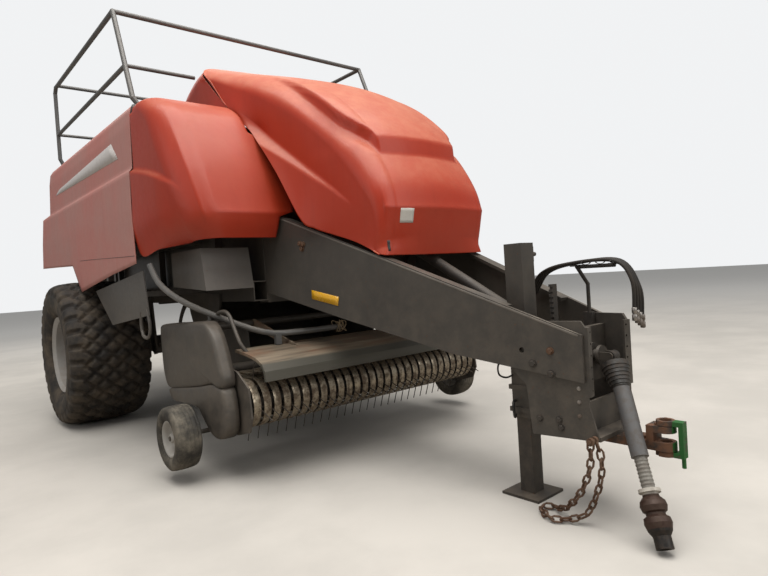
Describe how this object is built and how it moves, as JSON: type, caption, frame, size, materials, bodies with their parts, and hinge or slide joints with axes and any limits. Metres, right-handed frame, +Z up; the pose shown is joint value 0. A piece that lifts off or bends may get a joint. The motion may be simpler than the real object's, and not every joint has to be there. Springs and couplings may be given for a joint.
{
  "type": "large square baler",
  "caption": "Towed large square baler on one axle: pickup reel, bale chamber, drawbar with jack and power shaft, opening hood and side panels, folding bale chute.",
  "frame": {"origin": "on the ground, at the middle of the machine's length and width, as it stands parked", "axes": "+X across to the machine's left, -Y towards the drawbar, +Y towards the bale chute, +Z up"},
  "size_m": [2.984, 7.4468, 3.3948],
  "materials": {
    "red_paint": "semi-gloss",
    "frame_grey": "satin",
    "dark_steel": "satin",
    "worn_steel": "worn",
    "rim_paint": "satin",
    "tyre_rubber": "matt",
    "lens_red": "gloss"
  },
  "bodies": {
    "root": {"chamber": "frame_grey", "main_frame": "frame_grey", "axle": "dark_steel", "tongue_right": "frame_grey", "tongue_left": "frame_grey", "hitch_box": "frame_grey", "hitch_clevis": "dark_steel", "jack_tube": "frame_grey", "gearbox": "frame_grey", "packer_duct": "frame_grey", "needle_frame": "frame_grey", "front_shield_right": "red_paint", "front_shield_left": "red_paint", "top_shield": "red_paint", "front_boxes": "frame_grey", "lower_skirts": "frame_grey", "upper_frame": "frame_grey", "platform": "dark_steel", "handrail": "frame_grey", "knotters": "dark_steel", "density_rams": "dark_steel", "twine_rack_right": "frame_grey", "twine_rack_left": "frame_grey", "rear_lights": "lens_red", "ladder": "frame_grey", "hose_arm": "dark_steel", "hoses": "tyre_rubber", "safety_chain": "worn_steel"},
    "wheel_right": {"tyre_right": "tyre_rubber", "rim_right": "rim_paint"},
    "wheel_left": {"tyre_left": "tyre_rubber", "rim_left": "rim_paint"},
    "pickup": {"pickup_frame": "frame_grey", "pickup_bands": "worn_steel", "pickup_shields": "frame_grey", "windguard": "worn_steel", "lift_pipe": "frame_grey"},
    "reel": {"pickup_reel": "dark_steel"},
    "gauge_right": {"gauge_wheel_right": "tyre_rubber"},
    "gauge_left": {"gauge_wheel_left": "tyre_rubber"},
    "hood": {"hood": "red_paint"},
    "panel_right": {"side_panel_right": "red_paint"},
    "panel_left": {"side_panel_left": "red_paint"},
    "chute": {"bale_chute": "frame_grey"},
    "jack": {"jack_leg": "dark_steel"},
    "power_shaft": {"pto_shaft": "dark_steel"},
    "flywheel": {"flywheel": "dark_steel"},
    "driveline": {"driveline": "dark_steel"}
  },
  "joints": [
    {"name": "wheel_right_spin", "type": "hinge", "parent": "root", "child": "wheel_right", "pos_m": [-1.146, 1.346, 0.675], "axis": [1, 0, 0], "continuous": true},
    {"name": "wheel_left_spin", "type": "hinge", "parent": "root", "child": "wheel_left", "pos_m": [1.146, 1.346, 0.675], "axis": [1, 0, 0], "continuous": true},
    {"name": "pickup_lift", "type": "hinge", "parent": "root", "child": "pickup", "pos_m": [0, -0.56, 0.86], "axis": [-1, 0, 0], "range_deg": [-6, 8]},
    {"name": "reel_spin", "type": "hinge", "parent": "pickup", "child": "reel", "pos_m": [0, -1.472, 0.483], "axis": [1, 0, 0], "continuous": true},
    {"name": "gauge_right_spin", "type": "hinge", "parent": "pickup", "child": "gauge_right", "pos_m": [-1.2875, -1.13, 0.285], "axis": [1, 0, 0], "continuous": true},
    {"name": "gauge_left_spin", "type": "hinge", "parent": "pickup", "child": "gauge_left", "pos_m": [1.2875, -1.13, 0.285], "axis": [1, 0, 0], "continuous": true},
    {"name": "hood_lift", "type": "hinge", "parent": "root", "child": "hood", "pos_m": [0, -0.293, 3.053], "axis": [-1, 0, 0], "range_deg": [0, 55]},
    {"name": "panel_right_swing", "type": "hinge", "parent": "root", "child": "panel_right", "pos_m": [-1.234, 0, 2.525], "axis": [0, 1, 0], "range_deg": [0, 75]},
    {"name": "panel_left_swing", "type": "hinge", "parent": "root", "child": "panel_left", "pos_m": [1.234, 0, 2.525], "axis": [0, -1, 0], "range_deg": [0, 75]},
    {"name": "chute_fold", "type": "hinge", "parent": "root", "child": "chute", "pos_m": [0, 3.65, 1.15], "axis": [-1, 0, 0], "range_deg": [0, 95]},
    {"name": "jack_slide", "type": "slide", "parent": "root", "child": "jack", "axis": [0, 0, -1], "range_m": [0, 0.25]},
    {"name": "power_shaft_swing", "type": "hinge", "parent": "root", "child": "power_shaft", "pos_m": [0.06, -3.345, 0.757], "axis": [-1, 0, 0], "range_deg": [0, 60]},
    {"name": "flywheel_spin", "type": "hinge", "parent": "root", "child": "flywheel", "pos_m": [0, -1.64, 1.52], "axis": [0, 1, 0], "continuous": true},
    {"name": "driveline_spin", "type": "hinge", "parent": "root", "child": "driveline", "pos_m": [0.06, -3.15, 0.757], "axis": [-0.0393, 0.8651, 0.5001], "continuous": true}
  ],
  "couplings": [
    {"joint": "driveline_spin", "follows": "flywheel_spin", "ratio": 1}
  ]
}
